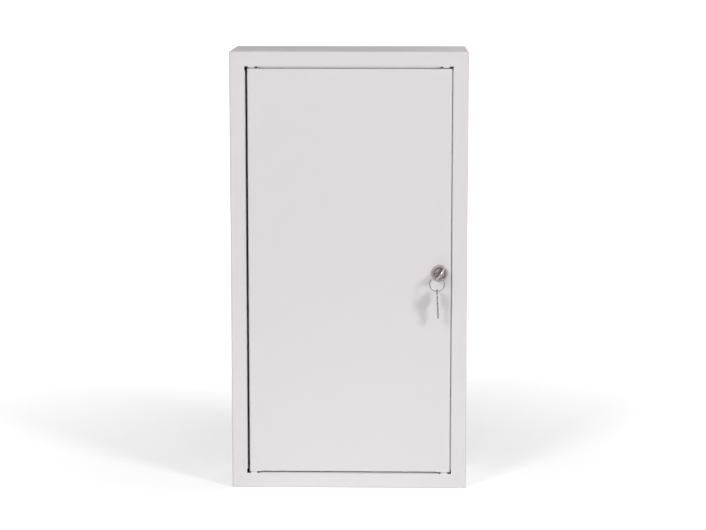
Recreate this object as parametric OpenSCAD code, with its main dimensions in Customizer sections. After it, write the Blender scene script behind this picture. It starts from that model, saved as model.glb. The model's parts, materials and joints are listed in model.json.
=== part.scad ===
// Wall-mounted steel enclosure for modular circuit devices: a folded and welded
// body, a flush door on pivot pins with a keyed cam lock, and inside it three
// DIN rails, terminal bars and a front cover. All sizes are in millimetres.
// X is to the right, Y into the wall and Z up. The origin is the centre of the
// back face, which lies on the wall.

/* [Body] */
// Overall width
body_w = 300; // [280:5:400]
// Overall height
body_h = 560; // [540:10:720]
// Overall depth, from the wall to the front face
body_d = 130; // [125:1:180]
// Thickness of the body and door sheet
sheet_t = 1.2; // [1:0.1:1.5]
// Outer radius of every fold in the painted sheet
fold_r = 1.8; // [1.6:0.1:2.4]
// Width of the front border round the door opening
border_w = 19; // [17:0.5:24]
// Depth of the rim round the door opening, from the front face
rim_d = 16; // [15:0.5:20]
// Width of the rim's flanges, which are welded behind the border
rim_flange_w = 10; // [7:0.5:12]
// Radius of the holes for the wall screws
wall_hole_r = 3.5; // [2.5:0.1:4.5]
// Distance from a wall screw to the top or bottom of the body
wall_hole_inset_z = 35; // [30:1:45]
// Distance from a wall screw to the side of the body
wall_hole_inset_x = 60; // [55:1:75]
// Radius of a cable knockout
knockout_r = 14; // [10:0.5:18]
// Distance from the wall to the middle of the knockouts
knockout_y = 45; // [35:1:60]

/* [Door] */
// Gap beside the door at its hinges
gap_hinge = 3.4; // [3:0.1:3.8]
// Gap beside the door at its lock
gap_lock = 1.5; // [1.2:0.1:2.5]
// Gap above and below the door
gap_end = 2.5; // [2:0.1:3]
// Depth of the flange folded back round the door
door_flange_d = 12; // [10:0.5:13]
// Length of the rubber buffers that the door closes on
buffer_l = 14; // [8:1:20]

/* [Hinges] */
// Distance from a hinge axis to the side of the door opening
hinge_inset = 9; // [9:0.5:11]
// Depth of the hinge axis behind the front face
hinge_depth = 5.5; // [5:0.1:6.5]
// Diameter of the hinge pins
pin_d = 4; // [3:0.5:4.5]
// Width of the ears that the pins turn in
ear_w = 8.4; // [7:0.2:12]
// Length of the ears behind the front face
ear_l = 12; // [10:0.5:16]
// Thickness of the washers between the door and the ears
washer_t = 1.5; // [1:0.1:2]

/* [Lock] */
// Distance from the lock's axis to the free edge of the door
lock_inset = 14.5; // [14.5:0.5:30]
// Height of the lock above the middle of the door
lock_z = 0; // [-100:5:100]
// Diameter of the lock's front flange
lock_flange_d = 21; // [20:0.5:26]
// Diameter of the lock's threaded barrel
barrel_d = 18; // [16.5:0.5:19]
// Diameter of the turning plug
plug_d = 12; // [11:0.5:13]
// Reach of the cam from the lock's axis
cam_reach = 21; // [20:0.5:22]
// Thickness of the cam
cam_t = 2; // [1.5:0.1:3]
// Angle of the key from upright, clockwise from the front
key_angle = 35; // [0:1:35]

/* [Keys] */
// Diameter of the key's round bow
bow_d = 19.5; // [18:0.5:24]
// Length of the key's blade
blade_l = 17.5; // [14:0.5:17.5]
// Width of the key's blade
blade_w = 7; // [5:0.5:8]
// Thickness of the key
key_t = 1.8; // [1.4:0.1:2.2]
// Mean radius of the key ring
ring_r = 9.2; // [9:0.1:14]
// Diameter of the key ring's wire
ring_wire_d = 1.2; // [1:0.1:1.4]
// Angle from upright at which the spare key hangs
hang_tilt = 2.8; // [0:0.1:4]

/* [Interior] */
// Distance from one DIN rail to the next
row_pitch = 150; // [125:5:150]
// Number of modules in a row
modules = 12; // [8:1:12]
// Width of one module
module_w = 17.8; // [17.5:0.1:18]
// Height of the windows in the cover
window_h = 45.5; // [45:0.5:47]
// Distance from the wall to the front of the rails
rail_front_y = 48.5; // [45:0.5:52]
// Distance from the rails' front to the cover's front
cover_ahead = 46.5; // [44:0.5:50]
// Depth of the cover's folded edges
cover_flange_d = 10; // [8:0.5:14]
// Width of the uprights that carry the rails
upright_w = 16; // [14:1:20]
// Thickness of the uprights and carriers
upright_t = 1.5; // [1.2:0.1:2]
// Length of the two terminal bars
terminal_bar_l = 160; // [100:5:180]
// Number of terminals on a bar
terminals = 14; // [8:1:15]

/* [Hidden] */
$fn = 48;

// Colours
paint = "#dbd7d8";
zinc = "#b9bcbd";
chrome = "#c9c6c2";
brass = "#c8a24a";
neutral_blue = "#2f6fb5";
earth_green = "#3f9a4a";
rubber = "#2c2c2e";
nylon = "#ebe9e4";

// Small clearances
run_c = 0.08;     // radial, between a turning part and its bore
touch_c = 0.05;   // radial, between a fixed part and its hole
side_c = 0.2;     // between flat faces that slide or close on each other
hinge_play = 0.2; // by which the hung door sinks on to its lower washer

// The front face, and the door opening in it
front_y = -body_d;
open_x = body_w / 2 - border_w;
open_z = body_h / 2 - border_w;
relief = 0.3;     // slit beside the end of a fold
corner_clear = 5; // from a corner of the opening to a rim strip's end
ear_side_c = 3;   // from an ear to the end of a rim strip
rim_top_c = 0.4;  // from the door's top flange to the rim
rim_bottom_c = 1.9; // from its bottom flange to the rim, as it sinks a little
rim_lock_c = 0.6; // from its flange at the lock side to the rim
rim_hinge_c = 2.7; // from its flange at the hinge side, whose corner swings out

// The door's edges
door_left = -(open_x - gap_hinge);
door_right = open_x - gap_lock;
door_top = open_z - gap_end;

// Hinges
hinge_x = open_x - hinge_inset;
pin_r = pin_d / 2;
ear_gap = 0.45;                     // between an ear and the door's edge
ear_face = door_top + ear_gap;      // the ear's face on the door's side
ear_drop = open_z - ear_face;
ear_clear = 10.5;                   // from the hinge axis to the door's end flange
clip_t = 0.7;
clip_groove = 0.5;                  // depth of the pin's groove for the clip
clip_seat = 0.05;
bracket_t = 2;
bracket_l = 18;
bracket_face = ear_face - hinge_play - washer_t - clip_t - clip_seat;
pin_head_h = 1.2;
pin_head_r = pin_r + 0.7;
pin_end = 1.9;                      // of the pin beyond the ear
washer_r = pin_r + 2;

// The rim's inner faces, and the door stops across its rear edge
rim_top_z = door_top + rim_top_c;
rim_bottom_z = door_top + rim_bottom_c;
rim_lock_x = door_right + rim_lock_c;
rim_hinge_x = rim_hinge_c - door_left;
stop_w = 7;
stop_z = open_z * 0.6;
stop_margin = 1;                    // of a stop plate beyond each end of its buffer
buffer_t = rim_d - door_flange_d - side_c;

// Lock, with depths measured behind the front face
lock_x = door_right - lock_inset;
flange_r = lock_flange_d / 2;
flange_h = 2.6;
flange_edge_r = 1.2;
recess_r = flange_r - 3;
recess_d = 1.5;
barrel_r = barrel_d / 2;
barrel_flat = barrel_r - 1;
barrel_end = rim_d + 0.4;
plug_r = plug_d / 2;
plug_head_r = plug_r + 0.4;
plug_head_h = 1.2;
plug_chamfer = 0.5;
plug_front = -flange_h + 0.4;
cam_front = barrel_end + 0.4;
cam_boss_r = plug_r + 1.6;
cam_tip_r = 4;
cam_square = 7;
cam_washer_t = 0.6;
cam_washer_r = 5;
cam_screw_r = 2;
cam_head_r = 3.8;
cam_head_h = 2.4;
nut_across = barrel_d + 4;
nut_h = 3.5;
keyway_t = key_t + 2 * side_c;
keyway_w = blade_w + 2 * side_c;
keyway_end = barrel_end - 0.6;

// Key and ring, with depths along the key's own length
shoulder = plug_front - 0.3;        // where the bow ends and the blade starts
bow_r = bow_d / 2;
bow_l = bow_d + 0.3;
bow_neck_w = 8.5;
bow_hole_half = 4.3;                // half the length of the bow's oblong hole
bow_hole_r = 2;                     // half its width
bow_hole_edge = 3.9;                // from its middle to the end of the bow
ring_wire_r = ring_wire_d / 2;
ring_gap = 0.3;                     // between the bent wire's two ends
ring_c = 0.3;                       // between the ring and a key's edge
hole_depth = shoulder - bow_l + bow_hole_edge;
bow_half_there = sqrt(bow_r * bow_r - pow(bow_r - bow_hole_edge, 2));
web_mid = (bow_hole_half + bow_half_there) / 2;
web_half = (bow_half_there - bow_hole_half) / 2;
ring_lift = sqrt(web_half * web_half + key_t * key_t / 4) + ring_wire_r + ring_c;
ring_pivot = [lock_x - web_mid * sin(key_angle), lock_z - web_mid * cos(key_angle)];
ring_mid = [ring_pivot[0], ring_pivot[1] + ring_lift - ring_r];
ring_y = front_y + hole_depth;
spare_hole_z = ring_mid[1] - ring_r + ring_wire_r + ring_c - bow_hole_r;

// Interior
cover_y = -(rail_front_y + cover_ahead);
cover_x = open_x - 3;
cover_z = open_z - 4;
upright_x = hinge_x - 4;
upright_h = 2 * cover_z;
upright_foot = 10;
foot_mid = upright_w / 2 + upright_foot / 2;
rail_w = 35;
rail_d = 7.5;
rail_t = 1;
rail_lip = 5;
rail_half_l = upright_x + upright_w / 2 - 1;
rail_back_y = -(rail_front_y - rail_d);
slot_pitch = 25;
slot_l = 15;
slot_w = 6.2;
slot_count = 2 * floor((upright_x - upright_w / 2 - slot_l) / slot_pitch) + 1;
pillar_across = 8;
pillar_bore_l = 12;
cover_screw_grip = 8;
cover_head_r = 5;
cover_head_h = 3;
pillar_z = cover_z - 10;
screw_r = 2;
head_r = 4.2;
head_h = 2.6;
stud_r = 2.5;
stud_l = 9;
stud_z = row_pitch * 1.3;
stud_nut_h = 4;
carrier_w = 20;
carrier_z = (row_pitch + rail_w / 2 + pillar_z - pillar_across / 2) / 2;
bar_t = 6.5;
bar_w = 9;
foot_h = 14;
foot_l = 10;
bar_foot_x = terminal_bar_l / 2 - foot_l;
bar_back_y = rail_back_y - upright_t - foot_h;
earth_stud_r = 3;
earth_stud_l = 16;
earth_stud_gap = 35;                // from a wall screw to the earth stud
earth_stud_x = body_w / 2 - wall_hole_inset_x - earth_stud_gap;
earth_stud_z = -(body_h / 2 - wall_hole_inset_z);
door_stud_in = 22;                  // from the hinge axis to the door's earth stud
door_stud_up = 24;                  // from the door's lower edge to that stud
door_stud_x = -(hinge_x - door_stud_in);
door_stud_z = -(door_top - door_stud_up);
door_stud_l = 9;
knockout_slot = 0.6;
knockout_bridge = 3;
knockout_step = 75;

// ---------- helpers ----------

// A rectangle with true arcs at its corners
module rounded_rect(w, h, r) {
    square([w - 2 * r, h], center = true);
    square([w, h - 2 * r], center = true);
    for (sx = [-1, 1], sy = [-1, 1])
        translate([sx * (w / 2 - r), sy * (h / 2 - r)]) circle(r);
}

// A box with every edge rounded
module rounded_box(w, d, h, r) {
    intersection() {
        translate([0, 0, -h / 2]) linear_extrude(h) rounded_rect(w, d, r);
        rotate([90, 0, 0]) translate([0, 0, -d / 2]) linear_extrude(d) rounded_rect(w, h, r);
        rotate([90, 0, 90]) translate([0, 0, -w / 2]) linear_extrude(w) rounded_rect(d, h, r);
    }
}

// Section of a sheet that is folded back. The fold's outer face is at x = 0 and
// the sheet's front face at y = 0. lead is the flat part before the fold.
module fold_section(depth, lead) {
    translate([-fold_r - lead, 0]) square([lead, sheet_t]);
    intersection() {
        translate([-fold_r, fold_r]) difference() {
            circle(fold_r);
            circle(fold_r - sheet_t);
        }
        translate([-fold_r, 0]) square(fold_r);
    }
    translate([-sheet_t, fold_r]) square([sheet_t, depth - fold_r]);
}

// A folded strip. The fold faces +X at turn 0, -X at 180, -Z at 90 and +Z at -90,
// and its outer face is at edge along that direction.
module fold_strip(turn, edge, span, depth, lead = 3, mid = 0) {
    rotate([0, turn, 0]) translate([edge, 0, mid - span / 2])
        linear_extrude(span) fold_section(depth, lead);
}

// What the flat sheet loses where a fold starts, with a notch past each end
module fold_cut(turn, edge, span, mid = 0) {
    rotate([0, turn, 0]) translate([edge - fold_r, -1, mid - span / 2 - relief])
        cube([fold_r + 1, sheet_t + 2, span + 2 * relief]);
}

// A cylinder that runs back from the front face
module back_cylinder(r, from, to) {
    translate([0, from, 0]) rotate([-90, 0, 0]) cylinder(h = to - from, r = r);
}

// A screw with a slotted head. The head's seat is at y = 0 and its shank runs back.
module slotted_screw(r, length, head, height) {
    difference() {
        union() {
            back_cylinder(r, 0, length);
            back_cylinder(head, -height, 0);
        }
        translate([-head - 1, -height - 1, -0.5]) cube([2 * head + 2, 2, 1]);
    }
}

// A hexagon nut on an axis that runs back, with its front at y = 0
module hex_nut(across, height, bore) {
    rotate([-90, 0, 0]) difference() {
        cylinder(h = height, r = across / 2 / cos(30), $fn = 6);
        translate([0, 0, -1]) cylinder(h = height + 2, r = bore);
    }
}

module from_front() {
    translate([0, front_y, 0]) children();
}

module at_lock() {
    translate([lock_x, front_y, lock_z]) children();
}

// ---------- body ----------

rim_side_span = 2 * (open_z - corner_clear);
rim_end_span = 2 * (hinge_x - ear_w / 2 - ear_side_c);

// A strip of the rim: an angle whose flange is welded behind the border, and whose
// web is set in from the border's edge so that it closes most of the gap
module rim(turn, edge, web, span) {
    color(paint) from_front() translate([0, sheet_t, 0])
        fold_strip(turn, -web, span, rim_d - sheet_t, lead = edge - web + rim_flange_w - fold_r);
}

// Ears at all four corners, so that the door can be hung on either side
module ears() {
    for (turn = [90, -90], side = [-1, 1])
        fold_strip(turn, -ear_face, ear_w, ear_l, lead = ear_drop, mid = side * hinge_x);
}

// The border's cut where each ear's fold starts
module ear_slits() {
    for (turn = [90, -90], side = [-1, 1])
        fold_cut(turn, -ear_face, ear_w, mid = side * hinge_x);
}

module ear_holes() {
    for (side = [-1, 1])
        translate([side * hinge_x, hinge_depth, -open_z])
            cylinder(h = 2 * open_z, r = pin_r + run_c);
}

// Plates welded across the rim's rear edge at the lock side, which stop the door
module door_stops() {
    length = buffer_l + 2 * stop_margin;
    color(paint) from_front() for (side = [-1, 1])
        translate([rim_lock_x - stop_w, rim_d, side * stop_z - length / 2])
            cube([stop_w + sheet_t, sheet_t, length]);
}

// The slot round a knockout, which three bridges keep in place
module knockout() {
    difference() {
        cylinder(h = 4 * sheet_t, r = knockout_r, center = true);
        cylinder(h = 5 * sheet_t, r = knockout_r - knockout_slot, center = true);
        for (a = [0, 120, 240])
            rotate(a) translate([knockout_r - knockout_slot / 2, 0, 0])
                cube([3 * knockout_slot, knockout_bridge, 5 * sheet_t], center = true);
    }
}

// The body's box, or the space inset from it, carried on past the wall
module deep_box(inset) {
    depth = body_d + 2 * fold_r - inset;
    translate([0, 2 * fold_r - depth / 2, 0])
        rounded_box(body_w - 2 * inset, depth, body_h - 2 * inset, fold_r - inset);
}

// Four walls and the border round the door, folded from one sheet
module body_shell() {
    color(paint) difference() {
        union() {
            difference() {
                deep_box(0);
                deep_box(sheet_t);
                translate([-body_w, 0, -body_h]) cube([2 * body_w, 3 * fold_r, 2 * body_h]);
                translate([-open_x, front_y - 1, -open_z])
                    cube([2 * open_x, sheet_t + 2, 2 * open_z]);
                from_front() ear_slits();
            }
            from_front() ears();
        }
        from_front() ear_holes();
        for (end = [-1, 1], i = [-1, 0, 1])
            translate([i * knockout_step, -knockout_y, end * (body_h / 2 - sheet_t / 2)])
                knockout();
    }
}

// The back, welded in flush with the rear edges of the walls
module back_panel() {
    color(paint) difference() {
        rotate([90, 0, 0]) linear_extrude(sheet_t)
            rounded_rect(body_w - 2 * sheet_t, body_h - 2 * sheet_t, fold_r);
        for (sx = [-1, 1], sz = [-1, 1])
            translate([sx * (body_w / 2 - wall_hole_inset_x), 0,
                       sz * (body_h / 2 - wall_hole_inset_z)])
                back_cylinder(wall_hole_r, -2 * sheet_t, 1);
    }
}

module door_buffers() {
    color(rubber) from_front() for (side = [-1, 1])
        translate([rim_lock_x - stop_w, door_flange_d + side_c, side * stop_z - buffer_l / 2])
            cube([stop_w, buffer_t, buffer_l]);
}

// Threaded studs welded to the back: four for the uprights and one for earth
module weld_studs() {
    color(zinc) {
        for (sx = [-1, 1], sz = [-1, 1])
            translate([sx * (upright_x - foot_mid), -sheet_t - stud_l, sz * stud_z])
                back_cylinder(stud_r, 0, stud_l);
        translate([earth_stud_x, -sheet_t - earth_stud_l, earth_stud_z])
            back_cylinder(earth_stud_r, 0, earth_stud_l);
    }
}

module upright_nuts() {
    color(zinc) for (sx = [-1, 1], sz = [-1, 1])
        translate([sx * (upright_x - foot_mid), -sheet_t - upright_t - stud_nut_h, sz * stud_z])
            hex_nut(8, stud_nut_h, stud_r + touch_c);
}

module body_earth_nut() {
    color(zinc) translate([earth_stud_x, -sheet_t - 5, earth_stud_z])
        hex_nut(10, 5, earth_stud_r + touch_c);
}

// ---------- rails, uprights and bars ----------

// Section of an upright: a hat with two feet on the back of the body
module upright_section() {
    d = -rail_back_y - sheet_t;
    w = upright_w / 2;
    f = w + upright_foot;
    t = upright_t;
    polygon([[-f, 0], [-f, -t], [-w, -t], [-w, -d], [w, -d], [w, -t], [f, -t], [f, 0],
             [w - t, 0], [w - t, t - d], [t - w, t - d], [t - w, 0]]);
}

module upright(side) {
    color(zinc) difference() {
        translate([side * upright_x, -sheet_t, -upright_h / 2])
            linear_extrude(upright_h) upright_section();
        for (z = [-row_pitch, 0, row_pitch, -pillar_z, pillar_z, -carrier_z, carrier_z])
            translate([side * upright_x, rail_back_y, z])
                back_cylinder(screw_r + touch_c, -1, upright_t + 1);
        for (z = [-stud_z, stud_z])
            translate([side * (upright_x - foot_mid), -sheet_t, z])
                back_cylinder(stud_r + touch_c, -2 * upright_t, 1);
    }
}

// Section of a 35 mm DIN rail: a web, two sides and two lips at the front
module rail_section() {
    h = rail_w / 2;
    w = h - rail_lip;
    d = rail_d;
    t = rail_t;
    polygon([[0, -w], [0, w], [t - d, w], [t - d, h], [-d, h], [-d, w - t], [-t, w - t],
             [-t, t - w], [-d, t - w], [-d, -h], [t - d, -h], [t - d, -w]]);
}

module din_rail(row) {
    color(zinc) translate([0, rail_back_y, (row - 1) * row_pitch]) difference() {
        translate([-rail_half_l, 0, 0]) rotate([90, 0, 90])
            linear_extrude(2 * rail_half_l) rail_section();
        for (side = [-1, 1]) translate([side * upright_x, 0, 0])
            back_cylinder(screw_r + touch_c, -2 * rail_t, 1);
        for (i = [0:slot_count - 1])
            translate([(i - (slot_count - 1) / 2) * slot_pitch, -rail_t - 1, 0]) rail_slot();
    }
}

module rail_slot() {
    r = slot_w / 2;
    half = slot_l / 2 - r;
    translate([-half, 0, -r]) cube([2 * half, rail_t + 2, slot_w]);
    for (side = [-1, 1]) translate([side * half, 0, 0]) back_cylinder(r, 0, rail_t + 2);
}

module rail_screws() {
    color(zinc) for (row = [0:2], side = [-1, 1])
        translate([side * upright_x, rail_back_y - rail_t, (row - 1) * row_pitch])
            slotted_screw(screw_r, rail_t + upright_t + 4, head_r, head_h);
}

module bar_carrier(end) {
    color(zinc) difference() {
        translate([-rail_half_l, rail_back_y - upright_t, end * carrier_z - carrier_w / 2])
            cube([2 * rail_half_l, upright_t, carrier_w]);
        for (side = [-1, 1]) translate([side * upright_x, rail_back_y, end * carrier_z])
            back_cylinder(screw_r + touch_c, -2 * upright_t, 1);
    }
}

module carrier_screws() {
    color(zinc) for (end = [-1, 1], side = [-1, 1])
        translate([side * upright_x, rail_back_y - upright_t, end * carrier_z])
            slotted_screw(screw_r, 2 * upright_t + 4, head_r, head_h);
}

terminal_step = (terminal_bar_l - 2 * foot_l - 10) / (terminals - 1);

module terminal_bar(end) {
    color(brass) translate([0, bar_back_y, end * carrier_z]) difference() {
        translate([-terminal_bar_l / 2, -bar_t, -bar_w / 2]) cube([terminal_bar_l, bar_t, bar_w]);
        for (i = [0:terminals - 1])
            translate([(i - (terminals - 1) / 2) * terminal_step, 0, 0]) {
                translate([0, -bar_t / 2, -bar_w]) cylinder(h = 2 * bar_w, r = 2);
                back_cylinder(1.6 + touch_c, -bar_t - 1, -bar_t / 2);
            }
    }
}

module terminal_bar_screws(end) {
    color(zinc) for (i = [0:terminals - 1])
        translate([(i - (terminals - 1) / 2) * terminal_step, bar_back_y - bar_t - 1.2, end * carrier_z])
            slotted_screw(1.6, 2.4, 2.6, 1.8);
}

module terminal_bar_feet(end, tint) {
    color(tint) for (side = [-1, 1])
        translate([side * bar_foot_x, rail_back_y - upright_t, end * carrier_z]) {
            translate([-foot_l / 2, -foot_h, -carrier_w / 2]) cube([foot_l, foot_h, carrier_w]);
            for (s = [0, 1]) mirror([0, 0, s])
                translate([-foot_l / 2, -foot_h - bar_t - 2, bar_w / 2 + touch_c])
                    cube([foot_l, bar_t + 3, (carrier_w - bar_w) / 2 - touch_c]);
        }
}

// ---------- cover ----------

module cover_pillars() {
    color(zinc) for (sx = [-1, 1], sz = [-1, 1])
        translate([sx * upright_x, cover_y + sheet_t, sz * pillar_z]) difference() {
            union() {
                hex_nut(pillar_across, rail_back_y - cover_y - sheet_t, 0.01);
                back_cylinder(screw_r, 0, rail_back_y - cover_y - sheet_t + upright_t + 3);
            }
            back_cylinder(screw_r + touch_c, -1, pillar_bore_l);
        }
}

module cover_plate() {
    window_w = modules * module_w + 2;
    side_span = 2 * (cover_z - fold_r - relief);
    end_span = 2 * (cover_x - fold_r - relief);
    color(paint) translate([0, cover_y, 0]) difference() {
        union() {
            difference() {
                translate([-cover_x, 0, -cover_z]) cube([2 * cover_x, sheet_t, 2 * cover_z]);
                for (turn = [0, 180]) fold_cut(turn, cover_x, side_span);
                for (turn = [90, -90]) fold_cut(turn, cover_z, end_span);
                for (sx = [-1, 1], sz = [-1, 1])
                    translate([sx * cover_x, 0, sz * cover_z])
                        cube(2 * (fold_r + relief / 2), center = true);
            }
            for (turn = [0, 180]) fold_strip(turn, cover_x, side_span, cover_flange_d);
            for (turn = [90, -90]) fold_strip(turn, cover_z, end_span, cover_flange_d);
        }
        for (row = [-1:1])
            translate([-window_w / 2, -1, row * row_pitch - window_h / 2])
                cube([window_w, sheet_t + 2, window_h]);
        for (sx = [-1, 1], sz = [-1, 1]) translate([sx * upright_x, 0, sz * pillar_z])
            back_cylinder(screw_r + side_c, -1, sheet_t + 1);
    }
}

module cover_screws() {
    color(nylon) for (sx = [-1, 1], sz = [-1, 1])
        translate([sx * upright_x, cover_y, sz * pillar_z])
            slotted_screw(screw_r, sheet_t + cover_screw_grip, cover_head_r, cover_head_h);
}

// ---------- door ----------

// Lets the door and what it carries down on to its lower hinge washer
module hung() {
    translate([0, 0, -hinge_play]) children();
}

module door_sheet() {
    side_span = 2 * (door_top - fold_r - relief);
    end_span = 2 * (hinge_x - ear_clear);
    difference() {
        translate([door_left, 0, -door_top])
            cube([door_right - door_left, sheet_t, 2 * door_top]);
        fold_cut(0, door_right, side_span);
        fold_cut(180, -door_left, side_span);
        for (turn = [90, -90]) fold_cut(turn, door_top, end_span);
    }
    fold_strip(0, door_right, side_span, door_flange_d);
    fold_strip(180, -door_left, side_span, door_flange_d);
    for (turn = [90, -90]) fold_strip(turn, door_top, end_span, door_flange_d);
}

module door_panel() {
    hole_r = barrel_r + side_c / 2;
    hole_flat = barrel_flat + side_c / 2;
    color(paint) difference() {
        hung() from_front() door_sheet();
        at_lock() intersection() {
            back_cylinder(hole_r, -1, sheet_t + 1);
            translate([-hole_r, -2, -hole_flat]) cube([2 * hole_r, sheet_t + 4, 2 * hole_flat]);
        }
    }
}

// An angle welded inside the door's side flange, whose short leg holds the pin
module hinge_bracket() {
    flange_in = door_left + sheet_t;
    leg_l = -hinge_x + pin_r + 3 - flange_in;
    color(zinc) from_front() difference() {
        union() {
            translate([flange_in, 2, bracket_face - bracket_l])
                cube([bracket_t - 0.6, door_flange_d - 3, bracket_l]);
            translate([flange_in, 2, bracket_face - bracket_t])
                cube([leg_l, door_flange_d - 3, bracket_t]);
        }
        translate([-hinge_x, hinge_depth, bracket_face - bracket_l])
            cylinder(h = 2 * bracket_l, r = pin_r + touch_c);
    }
}

module hinge_pin() {
    base = bracket_face - bracket_t;
    top = ear_face + sheet_t + pin_end;
    groove = pin_r - clip_groove;
    clip_end = bracket_face + clip_t + clip_seat;
    color(chrome) translate([-hinge_x, front_y + hinge_depth, 0]) rotate_extrude()
        polygon([[0, base - pin_head_h], [pin_head_r, base - pin_head_h], [pin_head_r, base],
                 [pin_r, base], [pin_r, bracket_face], [groove, bracket_face],
                 [groove, clip_end], [pin_r, clip_end], [pin_r, top - 0.8],
                 [pin_r - 0.8, top], [0, top]]);
}

// A C-shaped clip in the pin's groove, which rests on the bracket
module hinge_clip() {
    r = pin_r - clip_groove + touch_c;
    color(zinc) translate([-hinge_x, front_y + hinge_depth, bracket_face]) difference() {
        cylinder(h = clip_t, r = pin_r + 1.8);
        translate([0, 0, -1]) cylinder(h = clip_t + 2, r = r);
        translate([0, -r * 0.8, -1]) cube([pin_r + 3, r * 1.6, clip_t + 2]);
    }
}

module hinge_clips() {
    hung() for (end = [0, 1]) mirror([0, 0, end]) hinge_clip();
}

module hinge_washer() {
    translate([-hinge_x, front_y + hinge_depth, bracket_face + clip_t + clip_seat]) difference() {
        cylinder(h = washer_t, r = washer_r);
        translate([0, 0, -1]) cylinder(h = washer_t + 2, r = pin_r + touch_c);
    }
}

module hinge_washers() {
    color(nylon) hung() for (end = [0, 1]) mirror([0, 0, end]) hinge_washer();
}

module door_earth_stud() {
    color(zinc) hung() from_front() translate([door_stud_x, sheet_t, door_stud_z])
        back_cylinder(earth_stud_r, 0, door_stud_l);
}

module door_earth_nut() {
    color(zinc) hung() from_front() translate([door_stud_x, sheet_t, door_stud_z])
        hex_nut(10, 5, earth_stud_r + touch_c);
}

// ---------- lock ----------

// Section of the lock's flange: a rounded rim round a dished middle
module flange_section() {
    difference() {
        union() {
            square([flange_r - flange_edge_r, flange_h]);
            square([flange_r, flange_h - flange_edge_r]);
            translate([flange_r - flange_edge_r, flange_h - flange_edge_r]) circle(flange_edge_r);
        }
        polygon([[0, flange_h - recess_d], [recess_r - recess_d / 3, flange_h - recess_d],
                 [recess_r, flange_h], [recess_r, flange_h + 1], [0, flange_h + 1]]);
    }
}

// The lock's fixed body: its flange and a threaded barrel with two flats
module lock_body() {
    color(chrome) at_lock() difference() {
        union() {
            rotate([90, 0, 0]) rotate_extrude() flange_section();
            intersection() {
                back_cylinder(barrel_r, -0.5, barrel_end);
                translate([-barrel_r, -1, -barrel_flat])
                    cube([2 * barrel_r, barrel_end + 1, 2 * barrel_flat]);
            }
        }
        back_cylinder(plug_r + run_c, -flange_h - 1, barrel_end + 1);
        back_cylinder(plug_head_r + run_c, -flange_h - 1, plug_front + plug_head_h + side_c);
    }
}

module lock_nut() {
    color(zinc) at_lock() translate([0, sheet_t, 0])
        hex_nut(nut_across, nut_h, barrel_r + touch_c);
}

// The plug that the key turns, with its keyway and the square that carries the cam
module lock_plug() {
    boss_end = cam_front + cam_t - 0.1;
    color(chrome) at_lock() rotate([0, key_angle, 0]) difference() {
        union() {
            rotate([-90, 0, 0]) rotate_extrude()
                polygon([[0, plug_front], [plug_head_r - plug_chamfer, plug_front],
                         [plug_head_r, plug_front + plug_chamfer],
                         [plug_head_r, plug_front + plug_head_h],
                         [plug_r, plug_front + plug_head_h], [plug_r, barrel_end + 0.2],
                         [0, barrel_end + 0.2]]);
            translate([-cam_square / 2, barrel_end, -cam_square / 2])
                cube([cam_square, boss_end - barrel_end, cam_square]);
        }
        translate([-keyway_t / 2, plug_front - 1, -keyway_w / 2])
            cube([keyway_t, keyway_end - plug_front + 1, keyway_w]);
        back_cylinder(cam_screw_r + touch_c, barrel_end, boss_end + 1);
    }
}

// The cam, which swings behind the rim of the door opening
module lock_cam() {
    color(zinc) at_lock() rotate([0, key_angle, 0]) difference() {
        union() {
            back_cylinder(cam_boss_r, cam_front, cam_front + cam_t);
            translate([-cam_tip_r, cam_front, 0])
                cube([2 * cam_tip_r, cam_t, cam_reach - cam_tip_r]);
            translate([0, 0, cam_reach - cam_tip_r])
                back_cylinder(cam_tip_r, cam_front, cam_front + cam_t);
        }
        translate([-cam_square / 2 - touch_c, cam_front - 1, -cam_square / 2 - touch_c])
            cube([cam_square + 2 * touch_c, cam_t + 2, cam_square + 2 * touch_c]);
    }
}

module cam_washer() {
    color(zinc) at_lock() difference() {
        back_cylinder(cam_washer_r, cam_front + cam_t, cam_front + cam_t + cam_washer_t);
        back_cylinder(cam_screw_r + touch_c, cam_front, cam_front + 2 * cam_t);
    }
}

module cam_screw() {
    seat = cam_front + cam_t + cam_washer_t;
    color(zinc) at_lock() rotate([0, key_angle, 0]) translate([0, seat, 0])
        mirror([0, 1, 0]) slotted_screw(cam_screw_r, seat - barrel_end - 0.3, cam_head_r, cam_head_h);
}

// ---------- keys ----------

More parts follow.
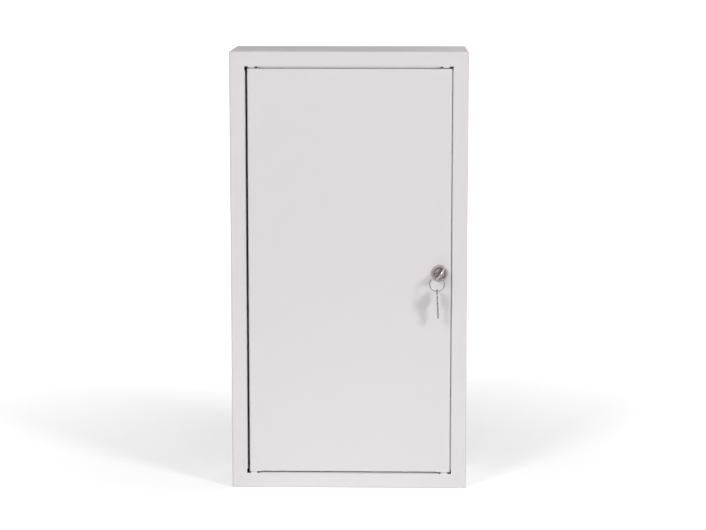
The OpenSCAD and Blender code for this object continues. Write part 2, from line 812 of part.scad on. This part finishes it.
// A key in the XY plane's sense: its length runs along Y with the blade towards
// +Y, its bow is as wide as Z and its hole is near the bow's end
module key_solid() {
    cuts = [3, 5.6, 8.2, 10.8, 13.4];
    depths = [0.7, 1.1, 0.5, 0.9, 0.6];
    bow_mid = shoulder - bow_l + bow_r;
    difference() {
        union() {
            translate([-key_t / 2, bow_mid, 0]) rotate([0, 90, 0]) cylinder(h = key_t, r = bow_r);
            translate([-key_t / 2, bow_mid, -bow_neck_w / 2])
                cube([key_t, shoulder - bow_mid, bow_neck_w]);
            translate([-key_t / 2, 0, 0]) rotate([90, 0, 90]) linear_extrude(key_t)
                polygon([[shoulder - 1, -blade_w / 2], [shoulder + blade_l - 1.6, -blade_w / 2],
                         [shoulder + blade_l, -blade_w / 4], [shoulder + blade_l, blade_w / 4],
                         [shoulder + blade_l - 1.6, blade_w / 2], [shoulder - 1, blade_w / 2]]);
        }
        translate([-key_t, hole_depth - bow_hole_r, -bow_hole_half + bow_hole_r])
            cube([2 * key_t, 2 * bow_hole_r, 2 * (bow_hole_half - bow_hole_r)]);
        for (side = [-1, 1])
            translate([-key_t, hole_depth, side * (bow_hole_half - bow_hole_r)])
                rotate([0, 90, 0]) cylinder(h = 2 * key_t, r = bow_hole_r);
        for (i = [0:len(cuts) - 1], side = [0, 1]) mirror([0, 0, side])
            translate([-key_t, shoulder + cuts[i] * blade_l / 17.5, blade_w / 2 - depths[i]])
                cube([2 * key_t, 1.4, 2]);
        for (side = [0, 1]) mirror([side, 0, 0])
            translate([key_t / 2 - 0.4, shoulder + 1, -1]) cube([1, blade_l, 1.4]);
    }
}

module lock_key() {
    color(chrome) at_lock() rotate([0, key_angle, 0]) key_solid();
}

module key_ring() {
    color(chrome) translate([ring_mid[0], ring_y, ring_mid[1]]) difference() {
        rotate([90, 0, 0]) rotate_extrude() translate([ring_r, 0]) circle(ring_wire_r);
        translate([ring_r - 2 * ring_wire_r, -2 * ring_wire_r, 0])
            cube([4 * ring_wire_r, 4 * ring_wire_r, ring_gap]);
    }
}

module spare_key() {
    color(chrome) translate([ring_pivot[0], ring_y, spare_hole_z]) rotate([0, -hang_tilt, 0])
        rotate([-90, 0, 0]) translate([0, -hole_depth, 0]) key_solid();
}

// ---------- one line for each node ----------

body_shell();
back_panel();
rim(0, open_x, rim_hinge_x, rim_side_span);  // rim_left
rim(180, open_x, rim_lock_x, rim_side_span);  // rim_right
rim(90, open_z, rim_top_z, rim_end_span);  // rim_top
rim(-90, open_z, rim_bottom_z, rim_end_span);  // rim_bottom
door_stops();
weld_studs();
upright(-1);  // upright_left
upright(1);  // upright_right
upright_nuts();
din_rail(2);  // din_rail_top
din_rail(1);  // din_rail_middle
din_rail(0);  // din_rail_bottom
rail_screws();
bar_carrier(1);  // bar_carrier_top
bar_carrier(-1);  // bar_carrier_bottom
carrier_screws();
terminal_bar(1);  // neutral_bar
terminal_bar_screws(1);  // neutral_bar_screws
terminal_bar_feet(1, neutral_blue);  // neutral_bar_feet
terminal_bar(-1);  // earth_bar
terminal_bar_screws(-1);  // earth_bar_screws
terminal_bar_feet(-1, earth_green);  // earth_bar_feet
body_earth_nut();
cover_pillars();
cover_plate();
cover_screws();
door_buffers();
door_panel();
hung() hinge_bracket();  // hinge_bracket_upper
hung() mirror([0, 0, 1]) hinge_bracket();  // hinge_bracket_lower
hung() hinge_pin();  // hinge_pin_upper
hung() mirror([0, 0, 1]) hinge_pin();  // hinge_pin_lower
hinge_clips();
hinge_washers();
lock_body();
lock_nut();
door_earth_stud();
door_earth_nut();
lock_plug();
lock_cam();
cam_washer();
cam_screw();
lock_key();
key_ring();
spare_key();
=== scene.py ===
"""Looks, light and camera for the steel wall enclosure. Lengths are in metres."""
import json
import math

import bpy
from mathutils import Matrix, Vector

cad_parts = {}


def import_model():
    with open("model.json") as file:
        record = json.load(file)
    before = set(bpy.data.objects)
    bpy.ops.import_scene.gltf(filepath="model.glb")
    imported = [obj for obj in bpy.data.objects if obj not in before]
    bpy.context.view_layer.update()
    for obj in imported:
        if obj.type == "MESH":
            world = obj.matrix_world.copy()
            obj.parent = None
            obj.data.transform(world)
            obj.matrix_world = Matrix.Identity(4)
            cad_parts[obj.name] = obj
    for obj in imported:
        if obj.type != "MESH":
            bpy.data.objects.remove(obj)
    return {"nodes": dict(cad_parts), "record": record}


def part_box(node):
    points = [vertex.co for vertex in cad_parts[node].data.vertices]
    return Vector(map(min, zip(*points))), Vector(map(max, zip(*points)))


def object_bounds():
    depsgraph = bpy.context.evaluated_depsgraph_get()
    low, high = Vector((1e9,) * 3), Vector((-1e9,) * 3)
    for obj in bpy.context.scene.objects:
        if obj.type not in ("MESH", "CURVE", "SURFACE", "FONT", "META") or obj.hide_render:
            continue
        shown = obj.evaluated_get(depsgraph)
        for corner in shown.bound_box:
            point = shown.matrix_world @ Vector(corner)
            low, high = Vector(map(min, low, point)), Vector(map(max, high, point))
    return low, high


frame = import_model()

CAD_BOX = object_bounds()
MM = 0.001
NODES = frame["nodes"]
RECORD = frame["record"]
SLOT_OF = {part["node"]: part["material_slot"] for part in RECORD["subparts"]}


# ---------- small helpers for node trees ----------

class Look:
    """A material and the shorthand that builds its nodes."""

    def __init__(self, name, color, roughness, metallic=0.0, **sockets):
        self.mat = bpy.data.materials.new(name)
        self.mat.use_nodes = True
        self.tree = self.mat.node_tree
        self.shader = self.tree.nodes["Principled BSDF"]
        self.set("Base Color", (*color, 1.0))
        self.set("Roughness", roughness)
        self.set("Metallic", metallic)
        for socket, value in sockets.items():
            self.set(socket.replace("_", " "), value)
        self.color = color
        self.roughness = roughness
        self.place = self.add("ShaderNodeTexCoord").outputs["Object"]
        self.normal = None

    def add(self, kind, **inputs):
        node = self.tree.nodes.new(kind)
        for name, value in inputs.items():
            self.plug(node.inputs[name.replace("_", " ")], value)
        return node

    def plug(self, socket, value):
        if isinstance(value, bpy.types.NodeSocket):
            self.tree.links.new(value, socket)
        else:
            socket.default_value = value

    def set(self, socket, value):
        self.plug(self.shader.inputs[socket], value)

    def moved(self, shift=(0, 0, 0), stretch=(1, 1, 1)):
        """Coordinates measured from the point shift and scaled by stretch."""
        node = self.add("ShaderNodeMapping", Vector=self.place)
        node.inputs["Scale"].default_value = stretch
        node.inputs["Location"].default_value = [-s * k for s, k in zip(shift, stretch)]
        return node.outputs["Vector"]

    def noise(self, size, detail=2.0, rough=0.5, stretch=(1, 1, 1)):
        """Noise from 0 to 1 whose lumps are about size across."""
        where = self.place if stretch == (1, 1, 1) else self.moved(stretch=stretch)
        node = self.add("ShaderNodeTexNoise", Vector=where, Scale=1.0 / size, Detail=detail,
                        Roughness=rough)
        return node.outputs["Fac"]

    def remap(self, value, low, high, start=0.0, end=1.0):
        node = self.add("ShaderNodeMapRange", Value=value)
        for name, number in (("From Min", start), ("From Max", end), ("To Min", low), ("To Max", high)):
            node.inputs[name].default_value = number
        return node.outputs["Result"]

    def blend(self, factor, a, b):
        """A colour between a at factor 0 and b at factor 1."""
        node = self.tree.nodes.new("ShaderNodeMix")
        node.data_type = "RGBA"
        self.plug(node.inputs["Factor"], factor)
        self.plug(node.inputs[6], a if isinstance(a, bpy.types.NodeSocket) else (*a, 1.0))
        self.plug(node.inputs[7], b if isinstance(b, bpy.types.NodeSocket) else (*b, 1.0))
        return node.outputs[2]

    def blend_values(self, factor, a, b):
        """A number between a at factor 0 and b at factor 1."""
        node = self.tree.nodes.new("ShaderNodeMix")
        for socket, value in zip(node.inputs, (factor, None, a, b)):
            if value is not None:
                self.plug(socket, value)
        return node.outputs[0]

    def math(self, operation, a, b=0.0):
        node = self.tree.nodes.new("ShaderNodeMath")
        node.operation = operation
        self.plug(node.inputs[0], a)
        self.plug(node.inputs[1], b)
        return node.outputs[0]

    def soft_edges(self, radius):
        """Rounds sharp edges in the shading and returns a mask that is 1 on them."""
        bevel = self.add("ShaderNodeBevel", Radius=radius)
        bevel.samples = 4
        self.normal = bevel.outputs["Normal"]
        flat = self.add("ShaderNodeNewGeometry").outputs["Normal"]
        dot = self.tree.nodes.new("ShaderNodeVectorMath")
        dot.operation = "DOT_PRODUCT"
        self.tree.links.new(self.normal, dot.inputs[0])
        self.tree.links.new(flat, dot.inputs[1])
        return self.remap(dot.outputs["Value"], 1.0, 0.0, start=0.75, end=0.995)

    def bump(self, height, depth, strength=1.0):
        """Adds relief of that depth to whatever relief there is."""
        node = self.add("ShaderNodeBump", Height=height, Strength=strength, Distance=depth)
        if self.normal is not None:
            self.tree.links.new(self.normal, node.inputs["Normal"])
        self.normal = node.outputs["Normal"]

    def done(self):
        if self.normal is not None:
            self.set("Normal", self.normal)
        return self.mat


def scaled(color, k):
    return tuple(min(1.0, c * k) for c in color)


# ---------- finishes ----------

PAINT = (0.742, 0.712, 0.722)
ZINC = (0.66, 0.68, 0.70)
NICKEL = (0.66, 0.62, 0.60)
# Darker copy of the key's nickel for the spare key and key ring: painted shade, so they look dark from
# the front
NICKEL_IN_PAINTED_SHADE = (0.40, 0.36, 0.355)
CHROME = (0.47, 0.425, 0.39)
# Darker, purplish chrome for the lock's recess and plug: painted shade for the dark reflections there
POLISHED_PAINTED_SHADE = (0.42, 0.37, 0.395)
BRASS = (0.80, 0.60, 0.27)
STEEL = (0.56, 0.56, 0.565)


def powder_coat():
    """Light grey powder coat with orange peel, faint mottling and edges darkened in patches."""
    look = Look("powder_coat", PAINT, 0.5, Specular_IOR_Level=0.3)
    edges = look.soft_edges(0.35 * MM)
    mottle = look.blend(look.noise(90 * MM, 3.0), scaled(PAINT, 0.985), scaled(PAINT, 1.012))
    speckle = look.blend(look.remap(look.noise(0.7 * MM, 2.0), 0.0, 1.0, 0.35, 0.65),
                         scaled(PAINT, 0.975), scaled(PAINT, 1.02))
    grain = look.blend(0.5, mottle, speckle)
    # Darker colour in patches along sharp edges
    edge_darkening = look.math("MULTIPLY", edges, look.remap(look.noise(6 * MM, 4.0), 0.0, 1.0, 0.45, 0.7))
    look.set("Base Color", look.blend(look.math("MULTIPLY", edge_darkening, 0.35), grain, scaled(PAINT, 0.86)))
    look.set("Roughness", look.remap(look.noise(25 * MM, 4.0), 0.45, 0.55))
    look.bump(look.noise(1.1 * MM, 2.0, 0.55), 0.045 * MM, 0.6)
    look.bump(look.noise(14 * MM, 1.0), 0.06 * MM, 0.35)
    return look.done()


def zinc_plate(name="zinc_plate", thread=None):
    """Bright zinc plate with rolling lines, faint spangle and dull handling marks."""
    look = Look(name, ZINC, 0.34, metallic=1.0)
    look.soft_edges(0.25 * MM)
    spangle = look.add("ShaderNodeTexVoronoi", Vector=look.place, Scale=1.0 / (5 * MM))
    shade = look.remap(spangle.outputs["Color"], 0.0, 1.0)
    cloud = look.noise(18 * MM, 4.0, 0.6)
    tint = look.blend(cloud, scaled(ZINC, 0.86), scaled(ZINC, 1.08))
    look.set("Base Color", look.blend(look.math("MULTIPLY", shade, 0.25), tint, scaled(ZINC, 1.15)))
    lines = look.noise(0.5 * MM, 3.0, 0.6, stretch=(0.04, 1, 1))
    look.set("Roughness", look.remap(look.blend(0.4, cloud, lines), 0.26, 0.46))
    look.bump(lines, 0.01 * MM, 0.35)
    if thread:
        look.bump(thread_waves(look, thread), 0.35 * MM, 0.8)
    return look.done()


def thread_waves(look, pitch):
    """Ridges across Y, one every pitch, for a screw thread."""
    waves = look.add("ShaderNodeTexWave", Vector=look.place, Scale=1.0 / pitch * 0.05 * 2 * math.pi)
    waves.wave_type = "BANDS"
    waves.bands_direction = "Y"
    return waves.outputs["Fac"]


def satin_chrome():
    """Chrome turned on a lathe round the lock's axis: satin on the flange's rim,
    polished in its recess and on the plug. The recess and plug also get a darker, purplish colour that
    stands for the dark room they reflect: painted shade."""
    look = Look("satin_chrome", CHROME, 0.4, metallic=1.0)
    look.soft_edges(0.25 * MM)
    low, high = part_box("lock_body")
    turned = look.moved(shift=(low + high) / 2, stretch=(1, 0, 1))
    across = look.add("ShaderNodeVectorMath", Vector=turned)
    across.operation = "LENGTH"
    recess = (high.x - low.x) / 2 - LOCK_RIM
    rim = look.remap(across.outputs["Value"], 0.0, 1.0, recess - 0.4 * MM, recess)
    rings = look.add("ShaderNodeTexWave", Vector=turned, Scale=420.0, Distortion=1.2, Detail=2.0)
    rings.wave_type = "RINGS"
    rings.rings_direction = "SPHERICAL"
    haze = look.noise(3 * MM, 4.0, 0.6)
    # The recess takes the darker colour, which is painted shade; the rim keeps the satin chrome
    polished_painted_shade = look.blend(haze, scaled(POLISHED_PAINTED_SHADE, 0.9), scaled(POLISHED_PAINTED_SHADE, 1.08))
    satin = look.blend(haze, scaled(CHROME, 0.94), scaled(CHROME, 1.05))
    look.set("Base Color", look.blend(rim, polished_painted_shade, satin))
    smooth = look.remap(haze, 0.06, 0.16)
    rough = look.remap(haze, 0.36, 0.46)
    look.set("Roughness", look.blend_values(rim, smooth, rough))
    look.bump(rings.outputs["Fac"], 0.006 * MM, 0.3)
    look.bump(look.noise(0.25 * MM, 2.0), 0.004 * MM, 0.3)
    return look.done()


def nickel_plate(name, color, smooth, rough):
    """Nickel plate on a key or its ring: fine scratches and duller, worn edges."""
    look = Look(name, color, smooth, metallic=1.0)
    edges = look.soft_edges(0.2 * MM)
    haze = look.noise(2.5 * MM, 4.0, 0.6)
    wear_and_painted_shade = look.math("MULTIPLY", edges, haze)
    plate = look.blend(haze, scaled(color, 0.86), scaled(color, 1.1))
    look.set("Base Color", look.blend(look.math("MULTIPLY", wear_and_painted_shade, 0.6), plate, scaled(color, 1.3)))
    scratch = look.noise(0.3 * MM, 3.0, 0.7, stretch=(1, 0.06, 1))
    look.set("Roughness", look.remap(look.blend_values(0.5, haze, scratch), smooth, rough))
    look.bump(scratch, 0.008 * MM, 0.4)
    return look.done()


def drawn_steel():
    """Bright drawn steel with lines along Z."""
    look = Look("drawn_steel", STEEL, 0.25, metallic=1.0)
    look.soft_edges(0.15 * MM)
    lines = look.noise(0.15 * MM, 3.0, 0.6, stretch=(1, 1, 0.05))
    look.set("Base Color", look.blend(lines, scaled(STEEL, 0.88), scaled(STEEL, 1.1)))
    look.set("Roughness", look.remap(lines, 0.2, 0.36))
    look.bump(lines, 0.006 * MM, 0.4)
    return look.done()


def machined_brass():
    """Extruded brass with die lines along X and a light tarnish."""
    look = Look("machined_brass", BRASS, 0.28, metallic=1.0)
    look.soft_edges(0.25 * MM)
    lines = look.noise(0.25 * MM, 3.0, 0.6, stretch=(0.03, 1, 1))
    tarnish = look.noise(9 * MM, 4.0, 0.6)
    look.set("Base Color", look.blend(look.remap(tarnish, 0.0, 1.0, 0.4, 0.8), BRASS, (0.55, 0.40, 0.19)))
    look.set("Roughness", look.remap(look.blend(0.5, lines, tarnish), 0.2, 0.42))
    look.bump(lines, 0.01 * MM, 0.4)
    return look.done()


def moulded(name, color, roughness=0.42):
    """Moulded plastic with a spark-eroded texture and slightly paler edges, which are a painted
    highlight.
    """
    look = Look(name, color, roughness)
    edges = look.soft_edges(0.3 * MM)
    cloud = look.blend(look.noise(12 * MM, 3.0), scaled(color, 0.93), scaled(color, 1.06))
    # Paler colour along the edges: painted highlight
    look.set("Base Color", look.blend(look.math("MULTIPLY", edges, 0.3), cloud, scaled(color, 1.4)))
    look.set("Roughness", look.remap(look.noise(3 * MM, 3.0), roughness - 0.06, roughness + 0.08))
    look.bump(look.noise(0.22 * MM, 2.0, 0.6), 0.02 * MM, 0.5)
    return look.done()


def rubber():
    """Black rubber, matt, with a bloom of pale dust."""
    look = Look("rubber", (0.022, 0.022, 0.024), 0.75)
    look.soft_edges(0.4 * MM)
    bloom = look.remap(look.noise(4 * MM, 4.0, 0.65), 0.0, 1.0, 0.45, 0.8)
    look.set("Base Color", look.blend(bloom, (0.02, 0.02, 0.022), (0.05, 0.05, 0.052)))
    look.set("Roughness", look.remap(bloom, 0.62, 0.85))
    look.bump(look.noise(0.5 * MM, 3.0), 0.03 * MM, 0.5)
    return look.done()


# Nodes that take a finish of their own, apart from their slot's
STUD_THREAD = 1.0 * MM
LOCK_RIM = 3.0 * MM


def dress():
    """Gives every node the finish of its slot, apart from the threaded studs, and the key ring and spare
    key, which get a darker copy of the key's nickel as painted shade.
    """
    finishes = {
        "painted_steel": powder_coat(),
        "zinc_plated_steel": zinc_plate(),
        "bright_steel": drawn_steel(),
        "chromed_zinc_alloy": satin_chrome(),
        "nickel_plated_brass": nickel_plate("nickel_plate", NICKEL, 0.22, 0.42),
        "brass": machined_brass(),
        "blue_plastic": moulded("blue_plastic", (0.03, 0.14, 0.42)),
        "green_plastic": moulded("green_plastic", (0.04, 0.23, 0.07)),
        "white_nylon": moulded("white_nylon", (0.74, 0.72, 0.66), 0.35),
        "black_rubber": rubber(),
    }
    threaded = zinc_plate("threaded_zinc", STUD_THREAD)
    # The key ring and spare key get a darker copy of the key's nickel: painted shade
    wear_and_painted_shade = nickel_plate("painted_shade_nickel", NICKEL_IN_PAINTED_SHADE, 0.14, 0.3)
    own = {"weld_studs": threaded, "door_earth_stud": threaded, "key_ring": wear_and_painted_shade, "spare_key": wear_and_painted_shade}
    for node, obj in NODES.items():
        finish = own.get(node) or finishes[SLOT_OF[node]]
        obj.data.materials.clear()
        obj.data.materials.append(finish)


# ---------- studio ----------

FLOOR_SIZE = 40.0
FLOOR_WHITE = (0.88, 0.88, 0.88, 1)
SKY = 0.1
CAMERA_AT = (0.0685, -2.8539, 0.4226)
CAMERA_TO = (0.0052, -0.1300, 0.0101)
LENS = 110.87


class Nodes:
    """A node tree and the shorthand that adds to it."""

    def __init__(self, tree):
        self.tree = tree

    def add(self, kind, **inputs):
        node = self.tree.nodes.new(kind)
        for name, value in inputs.items():
            self.plug(node.inputs[name.replace("_", " ")], value)
        return node

    def plug(self, socket, value):
        if isinstance(value, bpy.types.NodeSocket):
            self.tree.links.new(value, socket)
        else:
            socket.default_value = value

    def ramp(self, value, start, end, low, high):
        node = self.add("ShaderNodeMapRange", Value=value)
        for name, number in (("From Min", start), ("From Max", end), ("To Min", low), ("To Max", high)):
            node.inputs[name].default_value = number
        return node.outputs["Result"]

    def math(self, operation, a, b=0.0):
        node = self.add("ShaderNodeMath")
        node.operation = operation
        self.plug(node.inputs[0], a)
        self.plug(node.inputs[1], b)
        return node.outputs[0]


def floor():
    """A plain white floor that the enclosure stands on. To the camera it fades
    to the white of the background, and keeps its shadow close to the object."""
    half = FLOOR_SIZE / 2
    z = CAD_BOX[0].z
    mesh = bpy.data.meshes.new("floor")
    corners = [(-half, -half, z), (half, -half, z), (half, half, z), (-half, half, z)]
    mesh.from_pydata(corners, [], [(0, 1, 2, 3)])
    obj = bpy.data.objects.new("floor", mesh)
    bpy.context.scene.collection.objects.link(obj)
    mat = bpy.data.materials.new("floor_white")
    mat.use_nodes = True
    nodes = Nodes(mat.node_tree)
    shader = mat.node_tree.nodes["Principled BSDF"]
    shader.inputs["Base Color"].default_value = FLOOR_WHITE
    shader.inputs["Roughness"].default_value = 0.9
    shader.inputs["Specular IOR Level"].default_value = 0.0
    shader.inputs["Emission Color"].default_value = (1, 1, 1, 1)
    path = nodes.add("ShaderNodeLightPath")
    place = nodes.add("ShaderNodeTexCoord").outputs["Object"]
    away = nodes.add("ShaderNodeVectorMath", Vector=place)
    away.operation = "LENGTH"
    far = nodes.ramp(away.outputs["Value"], FADE_FROM, FADE_TO, FLOOR_GLOW, 1.0)
    seen = nodes.math("MULTIPLY", path.outputs["Is Camera Ray"], far)
    mirrored = nodes.math("MULTIPLY", path.outputs["Is Glossy Ray"], GLOSSY_GLOW)
    nodes.plug(shader.inputs["Emission Strength"], nodes.math("ADD", seen, mirrored))
    mesh.materials.append(mat)


FLOOR_GLOW = 0.5
GLOSSY_GLOW = 0.15
FADE_FROM = 0.35
FADE_TO = 1.2


def softbox(name, at, size, watts, aim=None, spread=180):
    """An area lamp that points at aim, or at the middle of the object."""
    lamp = bpy.data.lights.new(name, "AREA")
    lamp.shape = "RECTANGLE"
    lamp.size, lamp.size_y = size
    lamp.energy = watts
    lamp.spread = math.radians(spread)
    obj = bpy.data.objects.new(name, lamp)
    obj.location = at
    target = Vector(aim) if aim else (CAD_BOX[0] + CAD_BOX[1]) / 2
    obj.rotation_euler = (target - Vector(at)).to_track_quat("-Z", "Y").to_euler()
    bpy.context.scene.collection.objects.link(obj)


def world():
    """White to the camera; an even sky to matt surfaces; to metal, white behind
    the object and dark in front of it, as a studio is."""
    bpy.context.scene.world = bpy.data.worlds.new("studio")
    bpy.context.scene.world.use_nodes = True
    tree = bpy.context.scene.world.node_tree
    tree.nodes.clear()
    nodes = Nodes(tree)
    path = nodes.add("ShaderNodeLightPath")
    sky = nodes.add("ShaderNodeBackground", Color=(1.0, 0.985, 1.0, 1), Strength=SKY)
    white = nodes.add("ShaderNodeBackground", Color=(1, 1, 1, 1), Strength=1.0)
    toward = nodes.add("ShaderNodeTexCoord").outputs["Generated"]
    split = nodes.add("ShaderNodeSeparateXYZ", Vector=toward)
    behind = nodes.ramp(split.outputs["Y"], -0.95, 0.1, 0.08, 1.0)
    room = nodes.add("ShaderNodeBackground", Color=(1, 1, 1, 1), Strength=behind)
    lit = nodes.add("ShaderNodeMixShader", Fac=path.outputs["Is Glossy Ray"])
    tree.links.new(sky.outputs[0], lit.inputs[1])
    tree.links.new(room.outputs[0], lit.inputs[2])
    seen = nodes.math("MAXIMUM", path.outputs["Is Camera Ray"], path.outputs["Is Transmission Ray"])
    final = nodes.add("ShaderNodeMixShader", Fac=seen)
    tree.links.new(lit.outputs[0], final.inputs[1])
    tree.links.new(white.outputs[0], final.inputs[2])
    out = nodes.add("ShaderNodeOutputWorld")
    tree.links.new(final.outputs[0], out.inputs["Surface"])


def camera():
    data = bpy.data.cameras.new("camera")
    data.lens = LENS
    data.sensor_width = 36.0
    data.clip_end = 100.0
    obj = bpy.data.objects.new("camera", data)
    obj.location = CAMERA_AT
    aim = Vector(CAMERA_TO) - Vector(CAMERA_AT)
    obj.rotation_euler = aim.to_track_quat("-Z", "Y").to_euler()
    bpy.context.scene.collection.objects.link(obj)
    bpy.context.scene.camera = obj


dress()
camera()
floor()
softbox("softbox_left", (-2.3, -4.1, 2.2), (1.2, 1.2), 83)
softbox("softbox_right", (4.0, -4.1, 2.2), (1.4, 1.4), 147)
softbox("softbox_front", (0.3, -4.2, 1.9), (2.4, 1.2), 26)
softbox("softbox_back", (0.8, 2.8, 0.9), (1.0, 1.0), 10)
softbox("low_strip", (0.0, -0.43, -0.265), (0.7, 0.03), 0.188, (0, -0.13, -0.25))
world()

scene = bpy.context.scene
scene.view_settings.view_transform = "Standard"
